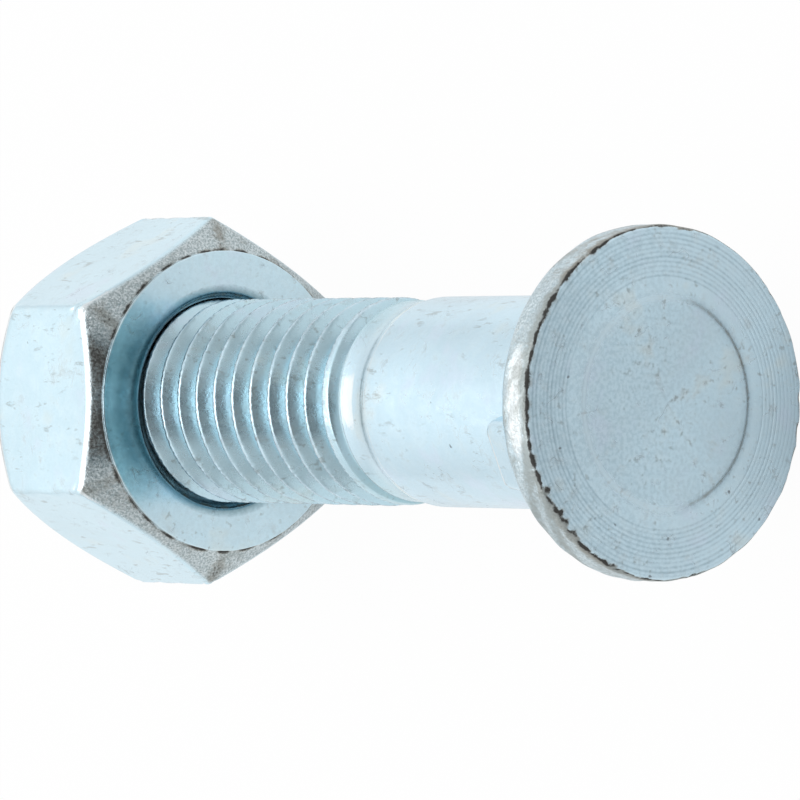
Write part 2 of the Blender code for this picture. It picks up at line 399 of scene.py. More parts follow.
def neck_radius(x):
    """Outer radius of the neck and of the thread's crests beside it."""
    share = np.maximum((x - NECK_LOW) / (NECK_SHOULDER - NECK_SOFTNESS), 0.0)
    shoulder = NECK_RADIUS + (SHANK_RADIUS - NECK_RADIUS) * share**NECK_CURVE
    shoulder = soft_min(shoulder, SHANK_RADIUS, NECK_SOFTNESS)
    rise = np.clip((NECK_LOW - x) / NECK_RISE, 0.0, 1.0)
    rising = NECK_RADIUS + (THREAD_RADIUS - NECK_RADIUS) * (1 - np.cos(math.pi * rise)) / 2
    return np.where(x >= NECK_LOW, shoulder, rising)


def bolt_closing(groove):
    """How far the groove has closed on its way into the neck, from 0 to 1."""
    return smooth_step(groove, THREAD_CLOSED - THREAD_FADE, THREAD_CLOSED)


def nut_closing(groove):
    return np.zeros_like(groove)


def from_groove(line, closed):
    """Distance of a helical line from its groove's middle. The lines draw in where the groove closes."""
    open_share = 1 - MOST_CLOSED * closed
    side = line - 0.5
    edge = 0.5 - CREST_HALF / THREAD_PITCH
    root = edge - THREAD_DEPTH * FLANK_SLOPE / THREAD_PITCH
    moved_edge = root + (edge - root) * open_share
    if abs(side) <= root:
        aside = side + 0 * closed
    elif abs(side) <= edge:
        aside = math.copysign(1, side) * (root + (abs(side) - root) * open_share)
    else:
        aside = math.copysign(1, side) * (0.5 - (0.5 - abs(side)) * (0.5 - moved_edge) / (0.5 - edge))
    return aside * THREAD_PITCH


def groove_depth(aside):
    """Depth of a sharp groove at this distance from its middle."""
    return (THREAD_PITCH / 2 - CREST_HALF - aside) / FLANK_SLOPE


def bolt_thread_radius(x, aside, closed):
    lift = THREAD_DEPTH * closed
    groove = soft_max(0.0, groove_depth(aside) - lift, CREST_SOFTNESS)
    groove = np.maximum(soft_min(groove, THREAD_DEPTH - lift, ROOT_SOFTNESS), 0.0)
    chamfer = THREAD_RADIUS - THREAD_DEPTH - END_BELOW_ROOT + (x - bolt_low.x)
    return np.minimum(neck_radius(x) - groove, chamfer)


def nut_thread_radius(x, aside, closed):
    lead_in = NUT_LEAD_IN * (1 - smooth_step(nut_high.x - x, 0.0, NUT_LEAD_IN_DEPTH))
    groove = soft_max(0.0, groove_depth(aside) - NUT_THREAD_CLEARANCE - lead_in, CREST_SOFTNESS)
    thread = soft_max(THREAD_RADIUS + NUT_THREAD_CLEARANCE - groove, NUT_THREAD_INNER, CREST_SOFTNESS)
    mouth = NUT_MOUTH_RADIUS - np.minimum(nut_high.x - x, x - nut_low.x)
    return np.maximum(thread, mouth)


def cone_foot():
    """Where the cone under the head would meet the shank."""
    return -(DISC_HEIGHT + RIM_HEIGHT + HEAD_RADIUS - SHANK_RADIUS)


def nib_radius(x, angle):
    """Radius of the nibs' surface: flared flat tops, rounded corners and edges, and a steep end."""
    rear = cone_foot() - NIB_PAST_CONE
    foot = SHANK_RADIUS - NIB_FILLET
    top = SHANK_RADIUS + NIB_HEIGHT + (x - rear) * math.tan(NIB_FLARE)
    behind = rear + NIB_CORNER - x
    radius = np.zeros_like(angle)
    for number in range(NIB_COUNT):
        off = np.abs(angle_from(angle, NIB_TURN + FULL_TURN * number / NIB_COUNT))
        near = np.minimum(off, math.radians(60.0))
        beside = (SHANK_RADIUS + NIB_HEIGHT / 2) * np.sin(near) - (NIB_HALF_WIDTH - NIB_CORNER)
        corner = np.hypot(np.maximum(beside, 0.0), max(behind, 0.0)) - NIB_CORNER
        outside = corner + np.minimum(np.maximum(beside, behind), 0.0)
        inside = np.clip(-outside / NIB_EDGE_ROUND, 0.0, 1.0)
        rounded = np.sqrt(1 - (1 - inside) ** 2)
        shape = foot + (top / np.cos(near) - foot) * rounded
        radius = np.maximum(radius, np.where(outside < 0, shape, 0.0))
    return radius


def blank_radius(x, angle):
    """Radius of shank, cone, nibs and rim."""
    body = soft_max(SHANK_RADIUS, SHANK_RADIUS + x - cone_foot(), CONE_SOFTNESS)
    body = np.maximum(body, soft_max(body, nib_radius(x, angle), NIB_FILLET))
    return soft_min(body, HEAD_RADIUS, RIM_SOFTNESS)


def edge_damage(angle):
    """How battered the edge of the head face is at each angle, from 0 to 1."""
    total = np.zeros_like(angle)
    for middle, half_width, strength in BATTERED:
        off = angle_from(angle, math.radians(middle)) / math.radians(half_width)
        total = np.maximum(total, strength * np.exp(-off * off))
    jagged = 0.55 + 0.3 * uneven(angle, 3, 25, 60) + 0.25 * uneven(angle, 4, 60, 88)
    return np.clip(total * jagged, 0.0, 1.0)


def edge_round(angle):
    """Radius of the rounded edge of the head face."""
    return FACE_EDGE_ROUND + FACE_EDGE_DAMAGE * edge_damage(angle)


def ring_groove(radius, angle):
    """How deep a point of the head face lies in the turned rings' grooves, from 0 to about 1."""
    inside = smooth_step(radius, RING_INNER - RING_PITCH / 2, RING_INNER)
    inside = inside * smooth_step(RING_INNER + RING_PITCH * (RING_COUNT + 0.5) - radius, 0, RING_PITCH / 4)
    turn = (radius - RING_INNER) / RING_PITCH
    number = np.round(turn)
    own_depth = 0.85 + 0.2 * np.sin(5.1 * number) + 0.2 * np.sin(3 * angle + 1.7 * number)
    return (1 - np.abs(np.sin(math.pi * turn))) * inside * np.clip(own_depth, 0.3, 1.2)


def face_x(radius, angle):
    """Height of the head face along X: rounded edge, turned rings and raised disc."""
    edge = edge_round(angle)
    reach = np.clip((radius - (HEAD_RADIUS - edge)) / edge, 0.0, 1.0)
    drop = edge * (1 - np.sqrt(1 - reach * reach))
    disc = DISC_HEIGHT * (1 - smooth_step(radius, DISC_RADIUS - DISC_EDGE_SLOPE, DISC_RADIUS))
    return disc - DISC_HEIGHT - drop - RING_DEPTH * ring_groove(radius, angle)


def face_radii():
    """Radii of the rows on the head face, from its edge to its middle."""
    edge = [HEAD_RADIUS - step for step in FACE_EDGE_ROWS]
    ring_out = RING_INNER + RING_PITCH * (RING_COUNT - 0.5)
    ring_in = RING_INNER - RING_PITCH / 2
    rings = span(edge[-1], ring_out, 2) + span(ring_out, ring_in, RING_COUNT * ROWS_PER_RING)
    disc_foot = span(ring_in, DISC_RADIUS, 3)
    disc_edge = span(DISC_RADIUS, DISC_RADIUS - DISC_EDGE_SLOPE, 6)
    return edge + rings + disc_foot + disc_edge + span(disc_edge[-1], FACE_CENTRE, 14)


def bolt_angles():
    degrees = set(range(0, 360, BOLT_STEP_DEGREES))
    for number in range(NIB_COUNT):
        middle = round(math.degrees(NIB_TURN)) + 360 // NIB_COUNT * number
        degrees |= {(middle + side * step) % 360 for side in (-1, 1) for step in NIB_SIDE_DEGREES}
    return [math.radians(value) for value in degrees]


def worn_bolt(x, radius, angle):
    """Small dents on the rim and the thread's crests and scrapes on the neck's shoulder, all inwards."""
    on_rim = smooth_step(radius, HEAD_RADIUS - 0.4 * MM, HEAD_RADIUS - 0.05 * MM)
    on_rim = on_rim * (x < -DISC_HEIGHT - 0.02 * MM)
    dent = patches(angle + 0.21 * x / MM, 11, 7, 30)
    crest = smooth_step(radius, THREAD_RADIUS - 0.12 * MM, THREAD_RADIUS - 0.02 * MM) * (x < NECK_LOW)
    nick = nicks(angle + 1.7 * x / MM, 12, 40, 85)
    shoulder_streaks = smooth_step(x, NECK_LOW + 0.7 * MM, NECK_LOW + 1.1 * MM) * (x < SHANK_END - 0.05 * MM)
    scrape = np.clip(0.5 + 0.5 * np.sin(x / (0.045 * MM)), 0.0, 1.0)
    scrape = scrape * np.clip(0.4 + 0.6 * uneven(angle, 15, 2, 12), 0.0, 1.0)
    return x, radius - (0.05 * on_rim * dent + 0.045 * crest * nick + 0.02 * shoulder_streaks * scrape) * MM


def face_edge_marks(x, radius, angle):
    """The rim and battered edge of the head face: a dark line of grime and painted shade, a paler halo,
    smears, a painted highlight.
    """
    rim_low = -(DISC_HEIGHT + RIM_HEIGHT)
    head = smooth_step(x, rim_low - 0.35 * MM, rim_low + 0.05 * MM)
    head = head * smooth_step(radius, HEAD_RADIUS - 1.6 * MM, HEAD_RADIUS - 1.2 * MM)
    damage = edge_damage(angle)
    edge = edge_round(angle) / MM
    on_top = smooth_step(np.cos(angle), 0.7, 0.95)

    # Millimetres over the edge, above 0 on the face and below 0 on the rim
    across = (HEAD_RADIUS - radius + DISC_HEIGHT + x) / MM
    # The dark line is grime in the crack and painted shade, wider and darker on top
    line_at = 0.03 + 0.03 * uneven(angle, 31, 9, 30) + 0.9 * damage * edge
    width = 0.13 + 0.05 * np.abs(uneven(angle, 32, 7, 40)) + 0.06 * damage
    width = width + on_top * (0.05 + 0.05 * uneven(angle, 38, 10, 40))
    strength = 0.58 + 0.22 * uneven(angle, 33, 5, 30) + 0.3 * damage + 0.1 * on_top
    strength = strength * (0.5 + 0.5 * smooth_step(np.cos(angle), -0.2, 0.5))
    strength = strength * np.clip(0.84 + 0.3 * uneven(angle, 37, 40, 88), 0.4, 1.05)
    line = head * strength * band(across, line_at, width)
    halo = head * strength * band(across, line_at - 0.05, 2.4 * width)
    smear = head * damage * smooth_step(across, -1.3 * edge, -0.6 * edge)
    smear = smear * smooth_step(across, line_at + 0.1, line_at)

    on_rim = smooth_step(radius, HEAD_RADIUS - 0.5 * MM, HEAD_RADIUS - 0.1 * MM) * head * (x < -0.2 * MM)
    rim_patch = patches(angle + 0.3 * x / MM, 34, 3, 19)
    low_rim = on_rim * smooth_step(np.sin(angle), 0.3, 0.8)
    # A painted highlight along the middle of the rim's top, added to its wear
    gleam = smooth_step(np.cos(angle), 0.92, 0.995) * band(x, -1.25 * MM, 0.6 * MM)
    wear = on_rim * (0.2 + 0.65 * gleam) * (1 - np.clip(line + smear, 0.0, 1.0))
    coarse = on_rim * (0.25 + 0.5 * (1 - rim_patch)) + 0.9 * smear
    return {
        "grime": line + 0.2 * on_rim + 0.03 * low_rim,
        "stain": 0.75 * halo + 0.6 * smear + 0.1 * low_rim + on_rim * (0.22 + 0.32 * rim_patch),
        "wear": wear + 0.3 * smear * nicks(angle, 36, 30, 80),
        "coarse": coarse,
        "matt": 0.5 * coarse,
    }


def face_marks(x, radius, angle):
    """The head face: painted shade that deepens upwards, painted shade in the ring grooves, and a disc edge
    that is matt above and painted dark below.
    """
    on_face = smooth_step(radius, HEAD_RADIUS - 0.1 * MM, HEAD_RADIUS - 0.35 * MM)
    on_face = on_face * (x > -DISC_HEIGHT - 0.08 * MM)
    away = smooth_step(np.cos(angle), 0.0, -0.55)
    disc_edge = on_face * band(radius, DISC_RADIUS - DISC_EDGE_SLOPE / 2, 0.15 * MM)
    # Painted shade over the face, deeper on top and in the ring grooves, and painted dark shade on the
    # disc's edge below
    rings = (radius > DISC_RADIUS) * (0.3 * ring_groove(radius, angle) - 0.09)
    base = 0.26 + 0.27 * radius / HEAD_RADIUS * np.cos(angle)
    return {
        "stain": 0.3 * disc_edge * away,
        "shade": on_face * (base + rings) * (1 - disc_edge) + 0.6 * disc_edge * away,
        "matt": 0.9 * disc_edge * (1 - away),
    }


def thread_marks(x, radius, angle):
    """The thread: worn and grimy crests, a painted highlight on top of the last crest, a matt last flank
    and painted teal shade in the grooves.
    """
    on_top = smooth_step(np.cos(angle), 0.92, 0.995)
    upper = smooth_step(np.cos(angle), 0.55, 0.9)
    threaded = smooth_step(x, NECK_LOW - 0.8 * MM, NECK_LOW - 1.2 * MM)
    crest = threaded * smooth_step(radius, THREAD_RADIUS - 0.07 * MM, THREAD_RADIUS - 0.01 * MM)
    grimy = crest * (1 - patches(angle + 0.9 * x / MM, 35, 6, 40))
    last_crest = smooth_step(x, NECK_LOW - 2.35 * MM, NECK_LOW - 2.2 * MM)
    last_crest = last_crest * smooth_step(x, NECK_LOW - 1.6 * MM, NECK_LOW - 1.7 * MM)
    lip = NECK_LOW - 0.9 * MM
    last_flank = smooth_step(x, lip - 0.85 * MM, lip - 0.7 * MM) * smooth_step(x, lip, lip - 0.08 * MM)
    return {
        "grime": 0.1 * grimy,
        # A painted highlight on top of the last crest
        "wear": 0.32 * (crest - grimy) + 0.45 * last_crest * crest * upper,
        "coarse": 0.14 * threaded * on_top * (1 - crest),
        "shade": 0.4 * grimy * (1 - last_crest),
        # A painted teal shade on the flanks and in the grooves
        "teal": 0.2 * threaded * (1 - crest),
        "matt": 0.4 * last_flank * (1 - crest) + (0.12 + 0.07 * on_top * (1 - crest)) * threaded,
    }


def neck_marks(x, radius, angle):
    """The neck, its scraped shoulder and the shank: painted highlights on top and on the edges, painted
    dark streaks, painted teal shade and stained sides.
    """
    on_top = smooth_step(np.cos(angle), 0.92, 0.995)
    upper = smooth_step(np.cos(angle), 0.55, 0.9)
    # A painted highlight along the top of the neck
    neck = smooth_step(x, NECK_LOW - 0.75 * MM, NECK_LOW - 0.6 * MM)
    neck = neck * smooth_step(x, NECK_LOW + 0.3 * MM, NECK_LOW + 0.02 * MM)
    # A painted teal shade on the sides of the hollow
    hollow = smooth_step(x, NECK_LOW - 2.0 * MM, NECK_LOW - 1.2 * MM) * (x < SHANK_END)
    # A painted dark reflection in streaks along the top of the shoulder
    shoulder_streaks = upper * band(x, SHANK_END - 0.5 * MM, 0.2 * MM)
    shoulder_streaks = shoulder_streaks * np.clip(0.3 + patches(angle + 0.9 * x / MM, 35, 6, 40), 0.0, 1.0)
    # Painted highlights on the shoulder's sides and along the shank's edge
    shoulder = band(x, SHANK_END - 0.25 * MM, 0.2 * MM) * (1 - upper)
    shank_edge = band(x, SHANK_END, 0.08 * MM)
    on_shank = smooth_step(x, SHANK_END, SHANK_END + 1.5 * MM) * (radius < SHANK_RADIUS + 0.05 * MM)
    return {
        "grime": 0.1 * shoulder_streaks,
        "stain": 0.2 * on_shank * (1 - upper),
        "wear": 0.72 * neck * on_top + 0.5 * shank_edge + 0.7 * shoulder,
        "shade": 0.6 * shoulder_streaks,
        "teal": 0.22 * hollow * (1 - upper),
        "matt": 0.6 * shoulder,
    }


def nib_marks(x, radius, angle):
    """The nibs: a bright end, and a painted dark line of shade where they meet the shank."""
    nib_rear = cone_foot() - NIB_PAST_CONE
    end = smooth_step(radius, SHANK_RADIUS + 0.25 * MM, SHANK_RADIUS + 0.6 * MM) * (x < nib_rear + 0.8 * MM)
    # Painted shade round the nibs' foot
    foot = smooth_step(radius, SHANK_RADIUS + 0.01 * MM, SHANK_RADIUS + 0.1 * MM) * (x < cone_foot())
    foot = foot * smooth_step(radius, SHANK_RADIUS + 0.7 * MM, SHANK_RADIUS + 0.3 * MM)
    return {"stain": 0.3 * foot, "wear": 0.55 * end, "shade": 0.6 * foot}


def bolt_marks(x, radius, angle):
    """Where each kind of mark sits on the bolt."""
    places = (face_edge_marks, face_marks, thread_marks, neck_marks, nib_marks)
    return add_marks(*(marks_of(x, radius, angle) for marks_of in places))


def make_bolt(material):
    skin = Skin(bolt_angles())
    thread_high = THREAD_CLOSED + THREAD_PITCH / 4
    end_radius = THREAD_RADIUS - THREAD_DEPTH - END_BELOW_ROOT
    low_row = skin.row(bolt_low.x, end_radius)
    high_row = skin.row(thread_high, neck_radius(np.array(thread_high)))
    skin.helix(low_row, high_row, bolt_low.x, thread_high, bolt_thread_radius, bolt_closing)
    end = skin.circles(low_row, [(bolt_low.x, end_radius * share) for share in BOLT_END_ROWS])
    skin.join(end, skin.tip(bolt_low.x))

    # Places where the spacing of the rows changes: both sides of the shank's edge, the nibs and the rim
    edge_low, edge_high = SHANK_END - 0.08 * MM, SHANK_END + 0.12 * MM
    nib_low = cone_foot() - NIB_PAST_CONE - 0.2 * MM
    rim_start = -(DISC_HEIGHT + RIM_HEIGHT) + 0.4 * MM
    rim_middle = rim_start + 0.5 * MM
    neck = span(thread_high, edge_low, 16) + span(edge_low, edge_high, 4)
    blank = span(edge_high, nib_low, 16) + span(nib_low, rim_start, 44) + span(rim_start, rim_middle, 6)
    last = skin.circles(high_row, [(x, neck_radius(np.array(x))) for x in neck])
    last = skin.circles(last, [(x, blank_radius(x, skin.angles)) for x in blank])
    rim_high = -DISC_HEIGHT - edge_round(skin.angles)
    rim = [(rim_middle + (rim_high - rim_middle) * share, HEAD_RADIUS) for share in RIM_ROWS]
    last = skin.circles(last, rim)
    last = skin.circles(last, [(face_x(radius, skin.angles), radius) for radius in face_radii()])
    skin.join(last, skin.tip(0.0))
    return skin.to_object("bolt_body", worn_bolt, bolt_marks, material)


def nut_angles():
    """Columns round the nut, close together at its six corners."""
    degrees = set()
    for side in range(NUT_SIDES):
        corner = 360 / NUT_SIDES * (side + 0.5)
        for step in NUT_STEPS_DEGREES:
            degrees |= {round((corner + sign * step) % 360, 3) for sign in (-1, 1)}
    return [math.radians(value) for value in degrees]


def nut_cone(depth, far_depth):
    """Radius of the cones that cut the nut's corners, at depths below its near and its far face."""
    near_edge = NUT_FACE_EDGE * np.clip(1 - depth / NUT_FACE_EDGE, 0.0, 1.0) ** 2
    near = NUT_BEARING_RADIUS - near_edge + np.maximum(depth - NUT_STEP, 0.0) / NUT_CHAMFER_SLOPE
    far_edge = NUT_FACE_EDGE * np.clip(1 - far_depth / NUT_FACE_EDGE, 0.0, 1.0) ** 2
    far = NUT_FAR_RADIUS - far_edge + far_depth / NUT_FAR_SLOPE
    return np.minimum(near, far)


def nut_radius(depth, angle):
    """Outer radius of the nut at a depth below its bearing face: a hexagon cut by two cones."""
    sector = FULL_TURN / NUT_SIDES
    nearest = np.round(angle / sector) * sector
    beside = nearest + np.where(angle > nearest, sector, -sector)
    flats = [NUT_HALF_FLATS / np.cos(angle_from(angle, middle)) for middle in (nearest, beside)]
    hexagon = soft_min(flats[0], flats[1], NUT_RIDGE_SOFTNESS)
    return soft_min(hexagon, nut_cone(depth, nut_high.x - nut_low.x - depth), NUT_EDGE_SOFTNESS)


def nut_depths():
    """Depths of the rows between the nut's two faces, close together where its edges curve."""
    height = nut_high.x - nut_low.x
    near = [*NUT_EDGE_ROWS, *span(NUT_EDGE_ROWS[-1], NUT_CHAMFER_ROWS_END, 30)]
    near.append(NUT_CHAMFER_ROWS_END + 0.3 * MM)
    near += span(near[-1], height / 2, 4)
    return near + [height - depth for depth in reversed(near[:-1])]


def worn_nut(x, radius, angle):
    """Small dents on the nut's corners and chamfers, always inwards."""
    dent = nicks(angle + 0.11 * x / MM, 21, 20, 70)
    corner = smooth_step(radius, 10.3 * MM, 10.9 * MM)
    return x, radius - 0.05 * dent * corner * MM


def nut_outer_marks(x, radius, angle):
    """The nut's sides: coarse grimy chamfers with painted shade in the top middle, worn edges painted
    brighter on top, and stained ridges.
    """
    depth, far_depth = nut_high.x - x, x - nut_low.x
    sector = FULL_TURN / NUT_SIDES
    ridge_angle = angle_from(angle, (np.floor(angle / sector) + 0.5) * sector)
    flat = NUT_HALF_FLATS / np.cos(sector / 2 - np.abs(ridge_angle))
    over_cone = flat - nut_cone(depth, far_depth)
    on_outside = smooth_step(radius, NUT_BEARING_RADIUS - 0.02 * MM, NUT_BEARING_RADIUS + 0.05 * MM)
    chamfer = smooth_step(over_cone, -0.25 * MM, 0.15 * MM) * on_outside
    edge = band(over_cone, -0.12 * MM, 0.25 * MM) * on_outside
    ridge = smooth_step(flat, 10.55 * MM, 10.9 * MM)
    middle = smooth_step(np.cos(angle), 0.88, 0.96)
    upper = smooth_step(np.cos(angle), 0.62, 0.95)
    blotch = patches(angle + 0.15 * depth / MM, 42, 9, 31)
    # Painted shade in the middle of the top chamfer, through the grime, stain and shade marks
    stain = chamfer * (0.12 + 0.24 * blotch + 0.2 * middle)
    return {
        "grime": chamfer * (0.16 + 0.12 * blotch + 0.27 * middle + 0.12 * ridge),
        "stain": stain + ridge * (0.18 + 0.02 * chamfer),
        # Edges worn, with a painted highlight on top
        "wear": edge * (0.2 + 0.6 * upper) + 0.4 * ridge * (1 - blotch) * chamfer,
        "coarse": chamfer,
        "shade": chamfer * (0.05 + 0.95 * middle),
        "matt": 0.1 * chamfer,
    }


def nut_face_marks(x, radius, angle):
    """The nut's two faces: a grimy foot round the step, and painted shade and painted teal shade on the
    bearing ring, the mouth and the bore.
    """
    from_face = np.minimum(nut_high.x - x, x - nut_low.x)
    bearing = (from_face < 0.01 * MM) * (radius > NUT_MOUTH_RADIUS)
    step = (from_face > 0.03 * MM) * (from_face < 0.15 * MM) * (radius < NUT_BEARING_RADIUS + 0.01 * MM)
    rim = smooth_step(radius, NUT_BEARING_RADIUS - 0.14 * MM, NUT_BEARING_RADIUS - 0.06 * MM)
    rim = rim * (from_face < 0.06 * MM)
    foot = band(radius, NUT_BEARING_RADIUS + 0.03 * MM, 0.09 * MM)
    foot = foot * (from_face > 0.1 * MM) * (from_face < 0.35 * MM)
    near_mouth = bearing * smooth_step(radius, 7.6 * MM, 6.7 * MM)
    inner = smooth_step(radius, 8.6 * MM, 7.2 * MM)
    # Painted shade in the countersink and deep in the bore, with grime in the bore
    sink = smooth_step(radius, NUT_MOUTH_RADIUS + 0.55 * MM, NUT_MOUTH_RADIUS - 0.1 * MM)
    deep = smooth_step(from_face, 0.32 * MM, 0.5 * MM) * (radius < NUT_MOUTH_RADIUS)
    middle = smooth_step(np.cos(angle), 0.88, 0.96)
    upper = smooth_step(np.cos(angle), 0.62, 0.95)
    blotch = patches(angle + 0.15 * (nut_high.x - x) / MM, 42, 9, 31)
    broken = np.clip(0.7 + 0.5 * uneven(angle, 41, 7, 40), 0.3, 1.1)
    # Painted shade on the bearing ring, deeper on top where it mirrors the thread, and patchy on top of the
    # step and its rim
    shade = 0.95 * sink + 0.6 * deep + bearing * (0.14 + upper * (0.25 + 0.35 * inner))
    return {
        "grime": 0.5 * foot * broken * (1 - 0.6 * middle) + 0.1 * near_mouth + 0.14 * bearing + 0.42 * deep,
        "stain": 0.6 * (foot + step) * broken * (1 - middle),
        "wear": 0.25 * step * middle * (1 - 0.6 * blotch),
        "shade": shade + (0.6 * step + 0.7 * rim) * middle * (0.4 + 0.6 * blotch),
        "teal": 0.55 * bearing * upper + 0.3 * sink,
    }


def nut_marks(x, radius, angle):
    """Where each kind of mark sits on the nut."""
    return add_marks(nut_outer_marks(x, radius, angle), nut_face_marks(x, radius, angle))


def make_nut(material):
    skin = Skin(nut_angles())
    sink, beyond = NUT_MOUTH_EDGE[0]
    low_row = skin.row(nut_low.x + sink, NUT_MOUTH_RADIUS + beyond)
    high_row = skin.row(nut_high.x - sink, NUT_MOUTH_RADIUS + beyond)
    skin.helix(low_row, high_row, nut_low.x + sink, nut_high.x - sink, nut_thread_radius, nut_closing)
    mouth = [(sink, NUT_MOUTH_RADIUS + beyond) for sink, beyond in NUT_MOUTH_EDGE[1:]]
    face = [(0.0, radius) for radius in span(mouth[-1][1], NUT_BEARING_RADIUS - 2 * NUT_FACE_EDGE, 6)]
    last = skin.circles(high_row, [(nut_high.x - depth, radius) for depth, radius in mouth + face])
    depths = nut_depths()
    last = skin.circles(last, [(nut_high.x - depth, nut_radius(depth, skin.angles)) for depth in depths])
    last = skin.circles(last, [(nut_low.x + depth, radius) for depth, radius in reversed(mouth + face)])
    skin.join(last, low_row)
    return skin.to_object("nut_body", worn_nut, nut_marks, material)


def add_node(tree, kind, inputs=None, **settings):
    """A shader node with its settings, and with each input set to a value or linked to a socket."""
    node = tree.nodes.new(kind)
    for name, value in settings.items():
        setattr(node, name, value)
    for name, value in (inputs or {}).items():
        if isinstance(value, bpy.types.NodeSocket):
            tree.links.new(value, node.inputs[name])
        else:
            node.inputs[name].default_value = value
    return node


def calculate(tree, operation, *values):
    node = add_node(tree, "ShaderNodeMath", dict(enumerate(values)), operation=operation)
    return node.outputs[0]


def calculate_vector(tree, operation, first, second, output="Vector"):
    node = add_node(tree, "ShaderNodeVectorMath", {0: first, 1: second}, operation=operation)
    return node.outputs[output]


def ramp(tree, value, low, high, to_low=0.0, to_high=1.0):
    """A value mapped smoothly from one range to another, and kept inside it."""
    inputs = {"Value": value, "From Min": low, "From Max": high, "To Min": to_low, "To Max": to_high}
    node = add_node(tree, "ShaderNodeMapRange", inputs, interpolation_type="SMOOTHSTEP")
    return node.outputs["Result"]


def noise(tree, place, per_mm, detail=3.0, roughness=0.55, distortion=0.0):
    """Noise with this many features to the millimetre, from 0 to 1."""
    inputs = {
        "Vector": place,
        "Scale": per_mm / MM,
        "Detail": detail,
        "Roughness": roughness,
        "Distortion": distortion,
    }
    return add_node(tree, "ShaderNodeTexNoise", inputs).outputs["Fac"]


def mix_colour(tree, share, first, second, blend="MIX"):
    node = add_node(tree, "ShaderNodeMix", data_type="RGBA", blend_type=blend)
    for socket, value in ((0, share), (6, first), (7, second)):
        if isinstance(value, bpy.types.NodeSocket):
            tree.links.new(value, node.inputs[socket])
        else:
            node.inputs[socket].default_value = value if socket == 0 else (*value, 1.0)
    return node.outputs[2]


def cover(tree, under, share, weight, colour, blend="MIX"):
    """A colour laid over another as far as a value times a weight says."""
    return mix_colour(tree, calculate(tree, "MULTIPLY", share, weight), under, colour, blend)


def weigh(tree, *pairs):
    """A sum of values, each times its weight."""
    total = 0.0
    for value, weight in pairs:
        total = calculate(tree, "MULTIPLY_ADD", value, weight, total)
    return total


def dark_spots(tree, place, wander, spots):
    """Single dark spots on the head face. Their outlines wander."""
    total = 0.0
    for degrees, distance, radius, strength in spots:
        turn = math.radians(degrees)
        centre = (-DISC_HEIGHT, -distance * math.sin(turn), distance * math.cos(turn))
        away = calculate_vector(tree, "DISTANCE", place, centre, "Value")
        away = calculate(tree, "MULTIPLY_ADD", wander, radius, away)
        spot = ramp(tree, away, radius * 1.1, radius * 1.9, strength, 0.0)
        total = calculate(tree, "MAXIMUM", spot, total)
    return total


def scuff_lines(tree, place, mottle, where):
    """Thin broken scratches, along the middle value of a coarse noise."""
    field = noise(tree, place, 0.5, detail=2.5, distortion=0.3)
    off = calculate(tree, "ABSOLUTE", calculate(tree, "SUBTRACT", field, 0.5))
    thin = calculate(tree, "MULTIPLY", ramp(tree, off, 0.0, 0.013, 1.0, 0.0), ramp(tree, where, 0.48, 0.58))
    return calculate(tree, "MULTIPLY", thin, ramp(tree, mottle, 0.42, 0.58))


def short_streaks(tree, place, where):
    """Short dark streaks, drawn out along the bolt."""
    drawn_out = calculate_vector(tree, "MULTIPLY", place, (0.35, 1.0, 1.0))
    streak = ramp(tree, noise(tree, drawn_out, 2.1, detail=3.0, roughness=0.6), 0.58, 0.70)
    return calculate(tree, "MULTIPLY", streak, ramp(tree, where, 0.42, 0.56))


def small_pits(tree, place):
    """Small pits with crooked outlines, one in each of a few scattered cells."""
    shift = add_node(tree, "ShaderNodeTexNoise", {"Vector": place, "Scale": 3.0 / MM, "Detail": 2.0})
    inputs = {0: shift.outputs["Color"], "Scale": 0.35 * MM}
    shift = add_node(tree, "ShaderNodeVectorMath", inputs, operation="SCALE")
    bent = calculate_vector(tree, "ADD", place, shift.outputs[0])
    cell = add_node(tree, "ShaderNodeTexVoronoi", {"Vector": bent, "Scale": 0.9 / MM})
    draw = add_node(tree, "ShaderNodeSeparateColor", {"Color": cell.outputs["Color"]}).outputs[0]
    chosen = ramp(tree, draw, 0.82, 1.0)
    size = calculate(tree, "MULTIPLY", chosen, 0.085)
    pit = ramp(tree, calculate(tree, "SUBTRACT", cell.outputs["Distance"], size), -0.03, 0.03, 1.0, 0.0)
    return calculate(tree, "MULTIPLY", pit, ramp(tree, chosen, 0.0, 0.2))


